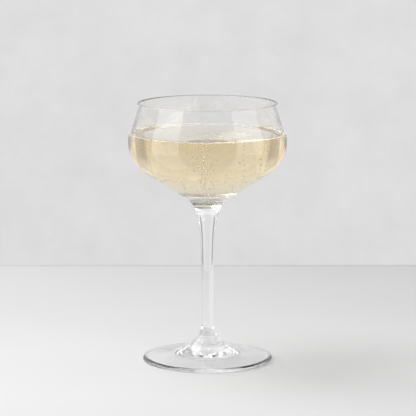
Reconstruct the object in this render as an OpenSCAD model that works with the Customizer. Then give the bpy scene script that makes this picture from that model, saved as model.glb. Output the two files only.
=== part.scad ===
// A coupe of sparkling wine: a wide stemmed glass blown in one piece, and the
// drink that fills the lower two thirds of its bowl.
//
// Millimetres, +Z up. The origin is the centre of the foot's underside, and Z
// is the axis that both pieces turn about. Each piece is one outline, given as
// [distance from the axis, height], swept all the way round.

/* [Overall] */
// Height from the table to the rim
glass_h = 161; // [135:1:195]

/* [Bowl] */
// Width of the bowl where it is widest
bowl_d = 98; // [80:1:118]
// Height of the rim above the widest place
rim_rise = 24; // [20:0.5:29]
// How far the rim stands in from the widest place
rim_in = 6; // [5:0.1:7.2]
// Lean of the wall at the rim, in degrees from upright
rim_lean = 18.7; // [16:0.1:22]
// Radius of the shoulder below the widest place
shoulder_r = 23.3; // [19:0.1:28]
// Rise of the bowl's underside, in degrees
underside_rise = 32.4; // [27:0.1:38]
// Thickness of the bowl's wall
wall_t = 1; // [0.8:0.1:1.6]
// Height of the bowl's flat inner floor above the throat
floor_rise = 4; // [1:0.1:6]
// How far the rounding between inner floor and wall reaches along each of them
floor_corner = 4; // [2:0.5:8]

/* [Stem] */
// Thickness of the stem at its waist
stem_d = 7.2; // [6:0.1:9]
// Height of the waist above the table
waist_h = 23.2; // [20:0.2:28]
// Thickness of the stem where it starts to open into the bowl
stem_top_d = 9.2; // [7.6:0.1:11]
// Width of the throat, where the stem has opened out to the bowl's underside
throat_d = 27; // [22:0.5:32]
// Height over which the stem opens out
throat_h = 22.6; // [18:0.2:28]

/* [Foot] */
// Width of the foot
foot_d = 80.6; // [66:0.2:98]
// Thickness of the foot at its rounded edge
foot_edge_t = 2.4; // [2:0.1:3]
// Rise of the foot towards the stem, in degrees
foot_rise = 7.3; // [6:0.1:9]
// Width at which the foot starts to sweep up into the stem
sweep_d = 44; // [38:0.5:52]
// Width of the ring that the foot stands on
rest_w = 2.4; // [1.6:0.1:4]
// Depth of the hollow under the foot
hollow_h = 4; // [2.5:0.1:4.8]

/* [Drink] */
// Depth of the drink's level below the rim
fill_drop = 19.6; // [12:0.2:34]

/* [Hidden] */

// Facets round the axis, and pieces in each curve of an outline
$fn = 180;
curve_n = 14;

// How far the curves run along their end tangents before they turn
sweep_top = 9;
sweep_corner_gap = 9.9;
throat_up = 16.4;
throat_out = 3.7;
stem_lean = 3.5;
hollow_flat = 12;
hollow_run = 18;
// Share of a rounded corner's reach that its curve's handles leave out
corner_share = 0.4;

bowl_r = bowl_d / 2;
rim_r = bowl_r - rim_in;
belly_h = glass_h - rim_rise;
// The wall above the widest place is an arc that ends in a straight line to the rim
upper_r = (rim_rise * tan(rim_lean) - rim_in) * cos(rim_lean) / (1 - cos(rim_lean));
shoulder_centre = [bowl_r - shoulder_r, belly_h];
upper_centre = [bowl_r - upper_r, belly_h];

// The underside's straight line touches the shoulder at its upper end
underside_dir = [cos(underside_rise), sin(underside_rise)];
shoulder_end = polar(shoulder_centre, shoulder_r, underside_rise - 90);
throat = shoulder_end - underside_dir * (shoulder_end.x - throat_d / 2) / underside_dir.x;
floor_h = throat.y + floor_rise;
inner_shoulder_end = polar(shoulder_centre, shoulder_r - wall_t, underside_rise - 90);
// Where the inside of the wall's straight part would meet the inner floor
floor_edge = inner_shoulder_end - underside_dir * (inner_shoulder_end.y - floor_h) / underside_dir.y;

waist = [stem_d / 2, waist_h];
stem_top = [stem_top_d / 2, throat.y - throat_h];
lean_dir = [sin(stem_lean), cos(stem_lean)];
stem_third = (stem_top.y - waist.y) / 3;

edge_r = foot_edge_t / 2;
edge_centre = [foot_d / 2 - edge_r, edge_r];
edge_top = polar(edge_centre, edge_r, 90 - foot_rise);
sweep_start = on_foot(sweep_d / 2);
// The sweep heads down the foot's slope for a place just outside the stem's side
sweep_corner = on_foot(stem_d / 2 + sweep_corner_gap);

rest_outer_r = foot_d / 2 - edge_r;
rest_inner_r = rest_outer_r - rest_w;

fill_h = glass_h - fill_drop;

function polar(centre, r, angle) = centre + r * [cos(angle), sin(angle)];

function on_foot(r) = [r, edge_top.y + (edge_top.x - r) * tan(foot_rise)];

function arc(centre, r, from, to) =
    [for (i = [0:curve_n]) polar(centre, r, from + (to - from) * i / curve_n)];

function bezier(a, b, c, d) =
    [for (i = [0:curve_n]) let (t = i / curve_n, s = 1 - t)
        s * s * s * a + 3 * s * s * t * b + 3 * s * t * t * c + t * t * t * d];

// A list without its first point, which the list before it ends on
function rest_of(points) = [for (i = [1:len(points) - 1]) points[i]];

// The hollow under the foot, level at the axis and sloping down to the ring like the foot above it
function hollow() = bezier(
    [0, hollow_h], [hollow_flat, hollow_h],
    [rest_inner_r - hollow_run * cos(foot_rise), hollow_run * sin(foot_rise)], [rest_inner_r, 0]);

// From the ring round the foot's edge, up its slope and into the stem's waist
function foot_outline() = concat(
    arc(edge_centre, edge_r, -90, 90 - foot_rise),
    bezier(sweep_start, sweep_corner, waist - [0, sweep_top], waist));

// From the waist up the stem, and out through the throat to the bowl's underside
function stem_outline() = concat(
    rest_of(bezier(waist, waist + [0, stem_third], stem_top - lean_dir * stem_third, stem_top)),
    rest_of(bezier(stem_top, stem_top + lean_dir * throat_up,
                   throat - underside_dir * throat_out, throat)));

// One face of the bowl's wall from the shoulder's lower end to the rim, at a depth in the wall
function wall_outline(depth) = concat(
    arc(shoulder_centre, shoulder_r - depth, underside_rise - 90, 0),
    rest_of(arc(upper_centre, upper_r - depth, 0, rim_lean)));

// The rounded rim, from the outside over the top to the inside, touching both faces of the wall
function rim_outline() =
    let (r = wall_t / 2,
         centre = [rim_r - r * (1 - sin(rim_lean)) / cos(rim_lean), glass_h - r])
    arc(centre, r, rim_lean, 180 + rim_lean);

// The inside of the bowl, from the axis up to the foot of the rim
function inner_outline() = concat(
    [[0, floor_h]],
    bezier(floor_edge - [floor_corner, 0], floor_edge - [corner_share * floor_corner, 0],
           floor_edge + underside_dir * corner_share * floor_corner, floor_edge + underside_dir * floor_corner),
    wall_outline(wall_t));

function reversed(points) = [for (i = [len(points) - 1:-1:0]) points[i]];

function glass_outline() = concat(
    hollow(), foot_outline(), stem_outline(), wall_outline(0),
    rim_outline(), reversed(inner_outline()));

// The inside of the bowl up to a height, ending on the wall exactly at that height
function filled_outline(h) =
    let (inside = concat(inner_outline(), [rim_outline()[curve_n]]),
         below = [for (p = inside) if (p.y < h) p],
         a = inside[len(below) - 1],
         b = inside[len(below)])
    concat(below, [a + (b - a) * (h - a.y) / (b.y - a.y), [0, h]]);

module glass() {
    color("gainsboro")
        rotate_extrude()
            polygon(glass_outline());
}

module champagne() {
    color("khaki")
        rotate_extrude()
            polygon(filled_outline(fill_h));
}

glass();
champagne();
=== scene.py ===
import math
import random

import bmesh
import bpy
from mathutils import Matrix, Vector


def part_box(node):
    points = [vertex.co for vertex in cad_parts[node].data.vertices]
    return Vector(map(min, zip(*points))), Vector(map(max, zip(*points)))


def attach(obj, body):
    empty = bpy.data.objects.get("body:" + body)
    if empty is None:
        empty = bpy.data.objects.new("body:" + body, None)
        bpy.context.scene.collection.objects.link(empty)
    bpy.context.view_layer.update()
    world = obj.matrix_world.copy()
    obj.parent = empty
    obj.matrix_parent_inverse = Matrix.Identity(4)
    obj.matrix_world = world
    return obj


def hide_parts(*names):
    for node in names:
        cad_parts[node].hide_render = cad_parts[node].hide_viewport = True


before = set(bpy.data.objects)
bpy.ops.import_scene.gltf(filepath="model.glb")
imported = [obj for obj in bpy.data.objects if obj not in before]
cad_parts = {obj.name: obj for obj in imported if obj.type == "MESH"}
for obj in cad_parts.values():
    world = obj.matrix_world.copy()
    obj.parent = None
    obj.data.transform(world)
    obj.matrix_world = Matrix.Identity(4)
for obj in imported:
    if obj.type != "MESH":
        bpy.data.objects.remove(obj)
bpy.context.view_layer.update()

MM = 0.001

SEGMENTS = 256          # facets round the axis
LONGEST_STEP = 2.0 * MM  # straight stretches of an outline are cut to this
SUBSTEPS = 2            # pieces of the smooth curve between two outline points
ON_SEAM = 1e-7          # how far off the seam a CAD corner may lie and still be on it
ON_AXIS = 1e-8          # the same for the axis

WALL_REACH = 0.15 * MM  # how far the drink runs into the wall, so that no gap shows
MENISCUS_H = 1.3 * MM   # how far the drink climbs the wall
MENISCUS_L = 1.7 * MM   # how fast that climb dies away from the wall
MENISCUS_RUN = 10 * MM  # how far from the wall its curve is followed
MENISCUS_STEPS, LEVEL_STEPS = 22, 8  # rings of the surface in that curve, and from there to the axis

RIM_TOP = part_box("glass")[1].z
# Painted highlight: the glass is made less clear, so partly white, from just below the rim up to it, to show
# the rim's light line
RIM_PAINTED_HIGHLIGHT = (RIM_TOP - 0.9 * MM, RIM_TOP - 0.4 * MM, 1.0, 0.82)
DRINK_DEPTH = (0.104, 0.138, 3.0, 10.4)  # how strongly the drink colours light, low down and high up


# ---------------------------------------------------------------- outlines

def cad_outline(node):
    """The (r, z) points of a turned CAD piece, along the seam where its faces close, axis to axis."""
    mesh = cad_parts[node].data
    on_seam = {}
    for v in mesh.vertices:
        x, y, z = v.co
        if x > -ON_SEAM and abs(y) < ON_SEAM:
            on_seam[v.index] = (round(x, 7), round(z, 7))
    joined = {}
    for e in mesh.edges:
        a, b = (on_seam.get(i) for i in e.vertices)
        if a and b and a != b:
            joined.setdefault(a, set()).add(b)
            joined.setdefault(b, set()).add(a)
    start = min((p for p in joined if p[0] == 0.0), key=lambda p: p[1])
    chain = [start]
    while True:
        onward = [p for p in joined[chain[-1]] if p not in chain[-3:]]
        if onward:
            chain.append(onward[0])
        if not onward or onward[0][0] == 0.0:
            return [Vector(p) for p in chain]


def evened(points):
    """The same outline with its long straight stretches cut into short ones."""
    out = [points[0]]
    for a, b in zip(points, points[1:]):
        n = max(1, math.ceil((b - a).length / LONGEST_STEP))
        out += [a.lerp(b, i / n) for i in range(1, n + 1)]
    return out


def tangent_at(points, i):
    """The direction of a smooth curve at one of an outline's points, level where it meets the axis."""
    if i == 0:
        return Vector((1.0, 0.0))
    if i == len(points) - 1:
        return Vector((-1.0, 0.0))
    before, after = points[i] - points[i - 1], points[i + 1] - points[i]
    la, lb = before.length, after.length
    return (before / la * lb + after / lb * la).normalized()


def smoothed(points):
    """A smooth curve through an outline's points, with SUBSTEPS pieces between each two."""
    tangents = [tangent_at(points, i) for i in range(len(points))]
    out = [points[0]]
    for i in range(len(points) - 1):
        a, b = points[i], points[i + 1]
        length = (b - a).length
        for k in range(1, SUBSTEPS + 1):
            t = k / SUBSTEPS
            h = 2 * t**3 - 3 * t**2 + 1
            out.append(a * h + b * (1 - h)
                       + tangents[i] * length * (t**3 - 2 * t**2 + t)
                       + tangents[i + 1] * length * (t**3 - t**2))
    return out


def linked_object(name, mesh):
    o = bpy.data.objects.new(name, mesh)
    bpy.context.scene.collection.objects.link(o)
    return o


def lathe(name, points, material):
    """A closed mesh of an outline swept round the axis. Points on the axis become single vertices."""
    verts, faces, rings = [], [], []
    for p in points:
        if p.x < ON_AXIS:
            rings.append([len(verts)] * SEGMENTS)
            verts.append((0.0, 0.0, p.y))
            continue
        rings.append(list(range(len(verts), len(verts) + SEGMENTS)))
        for s in range(SEGMENTS):
            a = 2 * math.pi * s / SEGMENTS
            verts.append((p.x * math.cos(a), p.x * math.sin(a), p.y))
    for lower, upper in zip(rings, rings[1:]):
        for s in range(SEGMENTS):
            t = (s + 1) % SEGMENTS
            quad = (lower[s], lower[t], upper[t], upper[s])
            faces.append(tuple(dict.fromkeys(quad)))
    mesh = bpy.data.meshes.new(name)
    mesh.from_pydata(verts, [], faces)
    mesh.materials.append(material)
    for f in mesh.polygons:
        f.use_smooth = True
    mesh.update()
    return linked_object(name, mesh)


# ---------------------------------------------------------------- shader nodes

def new_material(name):
    """A new material, its node tree and its main shader."""
    m = bpy.data.materials.new(name)
    m.use_nodes = True
    return m, m.node_tree, m.node_tree.nodes["Principled BSDF"]


def ramp(nt, stops, source):
    """A grey level by a number from 0 to 1, from a list of (number, level)."""
    node = nt.nodes.new("ShaderNodeValToRGB")
    nt.links.new(source, node.inputs[0])
    el = node.color_ramp.elements
    while len(el) > 1:
        el.remove(el[-1])
    el[0].position = stops[0][0]
    el[0].color = (*[stops[0][1]] * 3, 1)
    for place, level in stops[1:]:
        el.new(place).color = (level, level, level, 1)
    return node.outputs[0]


def math_node(nt, operation, *terms):
    """The result of a sum whose terms are numbers or other nodes' outputs."""
    node = nt.nodes.new("ShaderNodeMath")
    node.operation = operation
    for socket, term in zip(node.inputs, terms):
        if isinstance(term, float):
            socket.default_value = term
        else:
            nt.links.new(term, socket)
    return node.outputs[0]


def map_range(nt, source, rule):
    """A value that follows another from one number to a second: (from, to, value at from, value at to)."""
    change = nt.nodes.new("ShaderNodeMapRange")
    for socket, value in zip(("From Min", "From Max", "To Min", "To Max"), rule):
        change.inputs[socket].default_value = value
    nt.links.new(source, change.inputs[0])
    return change.outputs[0]


def coordinates(nt, kind):
    """A place or direction, whole and split into X, Y and Z."""
    whole = nt.nodes.new("ShaderNodeTexCoord").outputs[kind]
    split = nt.nodes.new("ShaderNodeSeparateXYZ")
    nt.links.new(whole, split.inputs[0])
    return whole, split.outputs


def by_height(nt, rule):
    """A value that changes between two heights: (low z, high z, low value, high value)."""
    _, place = coordinates(nt, "Object")
    return map_range(nt, place["Z"], rule)


def noise(nt, source, scale, detail):
    node = nt.nodes.new("ShaderNodeTexNoise")
    node.inputs["Scale"].default_value = scale
    node.inputs["Detail"].default_value = detail
    nt.links.new(source, node.inputs["Vector"])
    return node


# ---------------------------------------------------------------- materials

def glass_material():
    """Clear glass, with a painted highlight at the rim: less clear and partly white just below its top."""
    m, nt, p = new_material("clear_glass")
    p.inputs["Base Color"].default_value = (1.0, 1.0, 1.0, 1)
    p.inputs["Roughness"].default_value = 0.0
    p.inputs["IOR"].default_value = 1.5
    # Painted highlight: less transmission near the rim lets the white base colour show as a light line.
    nt.links.new(by_height(nt, RIM_PAINTED_HIGHLIGHT), p.inputs["Transmission Weight"])
    return m


def drink_material():
    """A pale gold wine that colours light by how far it goes, more so near the level."""
    m, nt, p = new_material("sparkling_wine")
    p.inputs["Base Color"].default_value = (1.0, 1.0, 1.0, 1)
    p.inputs["Roughness"].default_value = 0.0
    p.inputs["IOR"].default_value = 1.34
    p.inputs["Specular Tint"].default_value = (0.15, 0.15, 0.15, 1)
    p.inputs["Transmission Weight"].default_value = 1.0
    v = nt.nodes.new("ShaderNodeVolumeAbsorption")
    v.inputs["Color"].default_value = (0.89, 0.66, 0.09, 1)
    nt.links.new(by_height(nt, DRINK_DEPTH), v.inputs["Density"])
    nt.links.new(v.outputs[0], nt.nodes["Material Output"].inputs["Volume"])
    return m


def bubble_material(name, clear, painted_glow):
    """Gas in the drink: mostly clear, with painted light: an emission glow that stands in for the light a
    bubble gathers from all round.
    """
    m, _, p = new_material(name)
    p.inputs["Base Color"].default_value = (1.0, 0.98, 0.93, 1)
    p.inputs["Roughness"].default_value = 0.3
    p.inputs["IOR"].default_value = 1.34
    p.inputs["Transmission Weight"].default_value = clear
    # Painted light: the emission glow.
    p.inputs["Emission Color"].default_value = (1.0, 0.95, 0.84, 1)
    p.inputs["Emission Strength"].default_value = painted_glow
    return m


# ---------------------------------------------------------------- glass and drink

glass_line = cad_outline("glass")
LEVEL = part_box("champagne")[1].z

glass = lathe("coupe", smoothed(evened(glass_line)), glass_material())
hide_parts("glass")
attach(glass, "root")


def inner_wall():
    """The inside of the bowl, from the axis up to the rim."""
    rim = max(range(len(glass_line)), key=lambda i: glass_line[i].y)
    return list(reversed(glass_line[rim:]))


WALL = inner_wall()


def pushed_out(points, depth):
    """An outline moved outwards into the wall by a depth."""
    out = [Vector((points[0].x, points[0].y - depth))]
    for a, b, c in zip(points, points[1:], points[2:]):
        along = (c - a).normalized()
        out.append(b + Vector((along.y, -along.x)) * depth)
    return out


def radius_at(points, z):
    """How far from the axis an outline is at a height, or None past its ends."""
    for a, b in zip(points, points[1:]):
        if a.y <= z <= b.y and b.y > a.y:
            return a.x + (b.x - a.x) * (z - a.y) / (b.y - a.y)


def climb(away):
    """How far above the level the drink's surface is, at a distance from the wall."""
    return MENISCUS_H * math.exp(-away / MENISCUS_L)


def drink_outline():
    """The inside of the bowl up to the level, then in along the surface to the axis."""
    wall = pushed_out(smoothed(evened(WALL)), WALL_REACH)
    contact_z = LEVEL + MENISCUS_H
    side = [p for p in wall if p.y < contact_z - 0.05 * MM]
    contact = Vector((radius_at(wall, contact_z), contact_z))
    surface = [contact]
    for i in range(1, MENISCUS_STEPS + 1):
        away = MENISCUS_RUN * (i / MENISCUS_STEPS) ** 2
        surface.append(Vector((contact.x - away, LEVEL + climb(away))))
    inner = surface[-1].x
    surface += [Vector((inner * (1 - i / LEVEL_STEPS), LEVEL)) for i in range(1, LEVEL_STEPS + 1)]
    return side + surface


drink = lathe("drink", drink_outline(), drink_material())
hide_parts("champagne")
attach(drink, "root")


# ---------------------------------------------------------------- bubbles

PLUME_X = -1.0 * MM       # where the middle column rises, beside the axis
PLUME_BALLS, STRAY_BALLS, EDGE_BALLS = 460, 260, 700
COLLAR_BALLS, SURFACE_BALLS, BURST_BALLS = 1500, 260, 110
TRAINS = [  # where a single file of bubbles rises: x and y in mm, lowest and highest place, how far it sways
    (-29.6, -12.0, 117.0, 138.5, 0.5), (-23.4, 9.0, 111.5, 124.0, 0.9),
    (-27.0, -4.0, 113.0, 122.0, 0.8), (18.2, -10.0, 108.5, 139.0, 0.5),
    (23.5, 6.0, 111.0, 128.0, 0.8), (26.6, -9.0, 113.5, 131.0, 0.7),
    (29.6, -7.0, 115.5, 139.0, 0.6), (9.5, 14.0, 108.0, 126.0, 0.7),
    (-12.5, -16.0, 109.0, 124.0, 0.8), (3.0, -22.0, 110.0, 120.0, 0.8),
]
CLEAR, PAINTED_GLOW_LOOK = 0, 1      # which of a piece's materials a ball has; the second has the stronger painted glow
APART = 0.02 * MM         # least gap between two balls
CELL = 1.2 * MM           # the side of the cells they are sorted into, above two balls' radii and the gap
OFF_WALL = 0.1 * MM       # least gap from a ball in the drink to the wall, the floor and the level
TURN = 2 * math.pi
chance = random.Random(20)


def ball_shape(rounds):
    """The corners and faces of a ball of radius 1, from an icosahedron cut finer a number of times."""
    bm = bmesh.new()
    bmesh.ops.create_icosphere(bm, subdivisions=rounds, radius=1.0)
    bm.verts.index_update()
    verts = [v.co.copy() for v in bm.verts]
    faces = [tuple(v.index for v in f.verts) for f in bm.faces]
    bm.free()
    return verts, faces


BALL_VERTS, BALL_FACES = ball_shape(2)


def joined_balls(name, balls, materials):
    """One mesh of many small balls, each given as (centre, radius, which material)."""
    verts, faces, looks = [], [], []
    for centre, r, look in balls:
        start = len(verts)
        verts += [tuple(centre + v * r) for v in BALL_VERTS]
        faces += [tuple(i + start for i in f) for f in BALL_FACES]
        looks += [look] * len(BALL_FACES)
    mesh = bpy.data.meshes.new(name)
    mesh.from_pydata(verts, [], faces)
    for material in materials:
        mesh.materials.append(material)
    for f, look in zip(mesh.polygons, looks):
        f.use_smooth = True
        f.material_index = look
    return linked_object(name, mesh)


def kept_apart(balls):
    """The balls that touch no ball before them."""
    placed, kept = {}, []
    for centre, r, look in balls:
        key = tuple(int(math.floor(c / CELL)) for c in centre)
        near = [b for dx in (-1, 0, 1) for dy in (-1, 0, 1) for dz in (-1, 0, 1)
                for b in placed.get((key[0] + dx, key[1] + dy, key[2] + dz), ())]
        if all((centre - c).length > r + q + APART for c, q in near):
            placed.setdefault(key, []).append((centre, r))
            kept.append((centre, r, look))
    return kept


def in_drink(centre, r, _look):
    """Whether a ball lies wholly in the drink, off the wall and under the level."""
    wall = radius_at(WALL, centre.z)
    if wall is None or centre.z - r < WALL[0].y + OFF_WALL or centre.z + r > LEVEL - OFF_WALL:
        return False
    return math.hypot(centre.x, centre.y) < wall - r - OFF_WALL


def turned(away, a, z):
    """The place at a distance from the axis, an angle round it and a height."""
    return Vector((away * math.cos(a), away * math.sin(a), z))


def plume():
    """The wide column that rises in the middle and spreads under the level."""
    floor_z = WALL[0].y
    out = []
    for _ in range(PLUME_BALLS):
        share = chance.random() ** 0.8
        z = floor_z + 1 * MM + share * (LEVEL - floor_z - 1.5 * MM)
        spread = (1.3 + 1.2 * share + 2.6 * max(0.0, share - 0.75) * 4) * MM
        r = (0.16 + 0.14 * share + 0.09 * chance.random()) * MM
        out.append((Vector((PLUME_X + chance.gauss(0, spread), chance.gauss(0, spread), z)), r, PAINTED_GLOW_LOOK))
    return out


def train(x, y, low, high, sway):
    """A single file whose bubbles grow and draw apart as they rise."""
    out = []
    z = low
    phase = chance.random() * 6.28
    while z < high:
        rise = (z - low) / (high - low)
        dx = sway * math.sin(phase + z * 0.35) * 0.6 + chance.gauss(0, 0.14)
        dy = sway * math.cos(phase + z * 0.3) * 0.6 + chance.gauss(0, 0.14)
        r = (0.22 + 0.10 * rise + 0.05 * chance.random()) * MM
        out.append((Vector(((x + dx) * MM, (y + dy) * MM, z * MM)), r, CLEAR))
        z += 0.9 + 0.9 * rise + chance.random() * 0.6
    return out


def strays():
    """Bubbles by themselves in the drink, spread evenly over each level."""
    out = []
    while len(out) < STRAY_BALLS:
        z = WALL[0].y + (LEVEL - WALL[0].y) * chance.random()
        wall = radius_at(WALL, z)
        if wall is None:
            continue
        r = (0.12 + 0.13 * chance.random()) * MM
        away = math.sqrt(chance.random()) * (wall - r - 0.15 * MM)
        out.append((turned(away, chance.random() * TURN, z), r, CLEAR))
    return out


def under_the_edge():
    """Small bubbles that cling just under the level, all round the wall."""
    out = []
    for _ in range(EDGE_BALLS):
        a = chance.random() * TURN
        drop = abs(chance.gauss(0, 0.9)) + 0.35
        r = (0.13 + 0.14 * chance.random()) * MM
        z = LEVEL - drop * MM
        away = radius_at(WALL, z) - r - (0.15 + 0.5 * chance.random()) * MM
        out.append((turned(away, a, z), r, PAINTED_GLOW_LOOK))
    return out


def collar():
    """The ring of larger bubbles that float against the wall, with a few further in."""
    out = []
    edge = radius_at(WALL, LEVEL)
    for _ in range(COLLAR_BALLS):
        a = chance.random() * TURN
        patch = 0.5 + 0.5 * math.sin(3 * a + 1.0) * math.sin(7 * a)
        r = (0.18 + 0.24 * chance.random() ** 2) * MM
        inward = abs(chance.gauss(0, 0.5 + 0.7 * patch)) * MM
        away = edge - r - 0.12 * MM - inward
        out.append((turned(away, a, LEVEL + climb(inward + r) - 0.1 * MM), r, PAINTED_GLOW_LOOK))
    afloat = LEVEL - 0.05 * MM
    for _ in range(SURFACE_BALLS):
        away = (edge - 3 * MM) * math.sqrt(chance.random())
        a = chance.random() * TURN
        r = (0.14 + 0.14 * chance.random()) * MM
        out.append((turned(away, a, afloat), r, CLEAR))
    for _ in range(BURST_BALLS):
        r = (0.16 + 0.18 * chance.random()) * MM
        across, along = chance.gauss(0, 5 * MM), chance.gauss(0, 5 * MM)
        out.append((Vector((PLUME_X + across, along, afloat)), r, CLEAR))
    return out


sunk_balls = plume() + strays() + under_the_edge()
for row in TRAINS:
    sunk_balls += train(*row)
# The second material of each piece glows with painted light, and the foam faintly too: emission standing in
# for the light the bubbles catch.
sunk = joined_balls("bubbles", [b for b in kept_apart(sunk_balls) if in_drink(*b)],
                    [bubble_material("bubbles", 0.6, 0.0), bubble_material("painted_glow_bubbles", 0.6, 0.1)])
floating = joined_balls("collar", kept_apart(collar()),
                        [bubble_material("foam", 0.6, 0.05), bubble_material("painted_glow_foam", 0.45, 0.3)])
for piece in (sunk, floating):
    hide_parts("champagne")
    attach(piece, "root")


# ---------------------------------------------------------------- stage

FLOOR_DROP = 0.05 * MM   # the floor lies this far under the foot, so that the two never share a plane
FLOOR_FAR = 0.3256       # where the floor ends behind the glass, and the wall starts
FLOOR_SIDE, FLOOR_NEAR = 1.3, -1.6
FLOOR_PAINTED_FALLOFF_END = -0.1    # where the next list ends, just before the glass
FLOOR_PAINTED_FALLOFF = [(0.0, 0.555), (0.02, 0.67), (0.5, 0.755), (1.0, 0.87)]  # painted shade: the floor's tone from its far edge, darker towards the back and lighter towards the camera, as light would fall
PAINTED_LIGHT_UNDER_FOOT = (0.036, 0.044, 1.2, 1.0)  # painted light: lighter under the foot, where the glass shades the floor, by distance from the axis
PAINTED_SIDE_SHADE = (0.18, 0.70, 1.0, 0.72)        # painted shade: darker far to either side
MOTTLE = (0.06, 0.97)                  # how much the floor is mottled, and the least of it


def stage_floor():
    m, nt, p = new_material("floor")
    p.inputs["Roughness"].default_value = 0.9
    p.inputs["Specular IOR Level"].default_value = 0.1
    whole, place = coordinates(nt, "Object")
    # Painted shade and light: the floor's colour is darkened towards its far edge and lightened towards the
    # camera.
    painted_falloff = ramp(nt, FLOOR_PAINTED_FALLOFF, map_range(nt, place["Y"], (FLOOR_FAR, FLOOR_PAINTED_FALLOFF_END, 0.0, 1.0)))
    mottle = noise(nt, whole, 9.0, 5.0)
    speckle = math_node(nt, "MULTIPLY_ADD", mottle.outputs["Fac"], *MOTTLE)
    away = nt.nodes.new("ShaderNodeVectorMath")
    away.operation = "LENGTH"
    nt.links.new(whole, away.inputs[0])
    # Painted light: the floor is made lighter under the glass foot, where the glass casts shade.
    near = map_range(nt, away.outputs["Value"], PAINTED_LIGHT_UNDER_FOOT)
    # Painted shade: the floor is darkened far to either side.
    painted_side_shade = map_range(nt, math_node(nt, "ABSOLUTE", place["X"]), PAINTED_SIDE_SHADE)
    # The mottle is the floor's own; the other factors are painted light and shade.
    mottle_and_painted_light = math_node(nt, "MULTIPLY", painted_falloff, speckle)
    mottle_and_painted_light = math_node(nt, "MULTIPLY", mottle_and_painted_light, near)
    nt.links.new(math_node(nt, "MULTIPLY", mottle_and_painted_light, painted_side_shade), p.inputs["Base Color"])
    mesh = bpy.data.meshes.new("floor")
    z = -FLOOR_DROP
    mesh.from_pydata([(-FLOOR_SIDE, FLOOR_NEAR, z), (FLOOR_SIDE, FLOOR_NEAR, z),
                      (FLOOR_SIDE, FLOOR_FAR, z), (-FLOOR_SIDE, FLOOR_FAR, z)], [], [(0, 1, 2, 3)])
    mesh.materials.append(m)
    o = linked_object("floor", mesh)
    o.visible_glossy = False


stage_floor()

LOW_AROUND = [  # degrees from straight behind the glass, brightness of the studio near the table's height
    (0, 0.74), (28, 0.74), (31, 0.39), (43, 0.39), (45, 0.85), (60, 0.85),
    (64, 0.60), (110, 0.60), (180, 0.60),
]
HIGH_AROUND = [  # the same above that
    (0, 0.90), (15, 0.92), (35, 0.97), (58, 0.95), (68, 0.45), (105, 0.45), (120, 0.6), (180, 0.6),
]
# Heights are given here as half of 1 + the sine of the elevation.
LOW_TO_HIGH = [(0.565, 0.0), (0.64, 1.0)]   # where the low list gives way to the high one
UPWARDS = [  # and how the whole changes upwards
    (0.0, 0.97), (0.41, 0.97), (0.47, 1.0), (0.62, 1.0), (0.72, 0.86), (1.0, 0.65),
]
PLASTER = (0.17, 0.915)  # how much the wall is clouded, and the least of it


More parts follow.
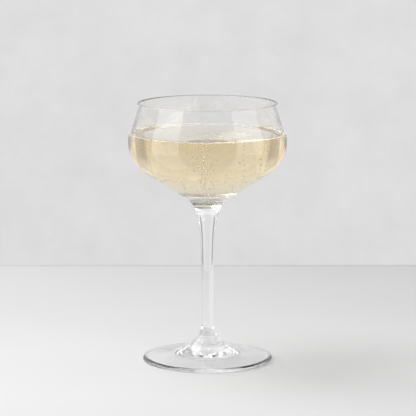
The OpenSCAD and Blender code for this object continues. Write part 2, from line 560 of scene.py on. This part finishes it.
def studio_world():
    """The wall behind the glass and the room round it, as light that depends only on direction."""
    world = bpy.data.worlds.new("studio")
    bpy.context.scene.world = world
    world.use_nodes = True
    nt = world.node_tree
    whole, split = coordinates(nt, "Generated")
    turn = math_node(nt, "ARCTAN2", split["X"], split["Y"])
    share = math_node(nt, "DIVIDE", math_node(nt, "ABSOLUTE", turn), math.pi)
    low = ramp(nt, [(deg / 180, level) for deg, level in LOW_AROUND], share)
    high = ramp(nt, [(deg / 180, level) for deg, level in HIGH_AROUND], share)
    height = math_node(nt, "MULTIPLY_ADD", split["Z"], 0.5, 0.5)
    mix = nt.nodes.new("ShaderNodeMix")
    nt.links.new(ramp(nt, LOW_TO_HIGH, height), mix.inputs["Factor"])
    nt.links.new(low, mix.inputs["A"])
    nt.links.new(high, mix.inputs["B"])
    smooth = math_node(nt, "MULTIPLY", mix.outputs["Result"], ramp(nt, UPWARDS, height))
    plaster = noise(nt, whole, 60.0, 4.0)
    plaster.inputs["Roughness"].default_value = 0.65
    clouds = math_node(nt, "MULTIPLY_ADD", plaster.outputs["Fac"], *PLASTER)
    level = math_node(nt, "MULTIPLY", smooth, clouds)
    bg = nt.nodes["Background"]
    nt.links.new(level, bg.inputs["Color"])
    bg.inputs["Strength"].default_value = 1.0


studio_world()


def area_light(name, place, aim, width, height, power, floor_too):
    """A soft rectangular light at a place, facing another.

    Without floor_too it shows only in and through the glass.
    """
    data = bpy.data.lights.new(name, "AREA")
    data.shape = "RECTANGLE"
    data.size, data.size_y = width, height
    data.energy = power
    o = linked_object(name, data)
    o.location = place
    o.rotation_euler = (Vector(aim) - Vector(place)).to_track_quat("-Z", "Y").to_euler()
    o.visible_camera = False
    o.visible_diffuse = floor_too


SOFTBOX_DISTANCE, SOFTBOX_WIDTH = 0.40, 0.32
SOFTBOX_LOW, SOFTBOX_HIGH = -0.50, 0.60


def softbox(name, azimuth, power):
    """A tall light that stands upright and faces the glass, azimuth degrees from the camera's side."""
    a = math.radians(azimuth)
    z = (SOFTBOX_LOW + SOFTBOX_HIGH) / 2
    place = (SOFTBOX_DISTANCE * math.sin(a), -SOFTBOX_DISTANCE * math.cos(a), z)
    area_light(name, place, (0, 0, z), SOFTBOX_WIDTH, SOFTBOX_HIGH - SOFTBOX_LOW, power, False)


softbox("left_window", -62, 1.35)
softbox("right_window", 62, 1.25)
area_light("key", (-0.70, 0.25, 1.0), (0.0, 0.0, 0.0), 1.1, 1.1, 11.5, True)

CAMERA_PLACE = (0.0003, -1.515, 0.3368)
CAMERA_DOWN = 9.053      # degrees that it looks down
CAMERA_LENS = 214.6


def make_camera():
    data = bpy.data.cameras.new("camera")
    data.sensor_width = 36.0
    data.lens = CAMERA_LENS
    data.clip_start, data.clip_end = 0.05, 20.0
    o = linked_object("camera", data)
    o.location = CAMERA_PLACE
    o.rotation_euler = (math.radians(90 - CAMERA_DOWN), 0, 0)
    bpy.context.scene.camera = o


make_camera()
scene = bpy.context.scene
scene.view_settings.view_transform = "Standard"
scene.cycles.max_bounces = 24
scene.cycles.transmission_bounces = 24
scene.cycles.glossy_bounces = 12
scene.cycles.transparent_max_bounces = 16
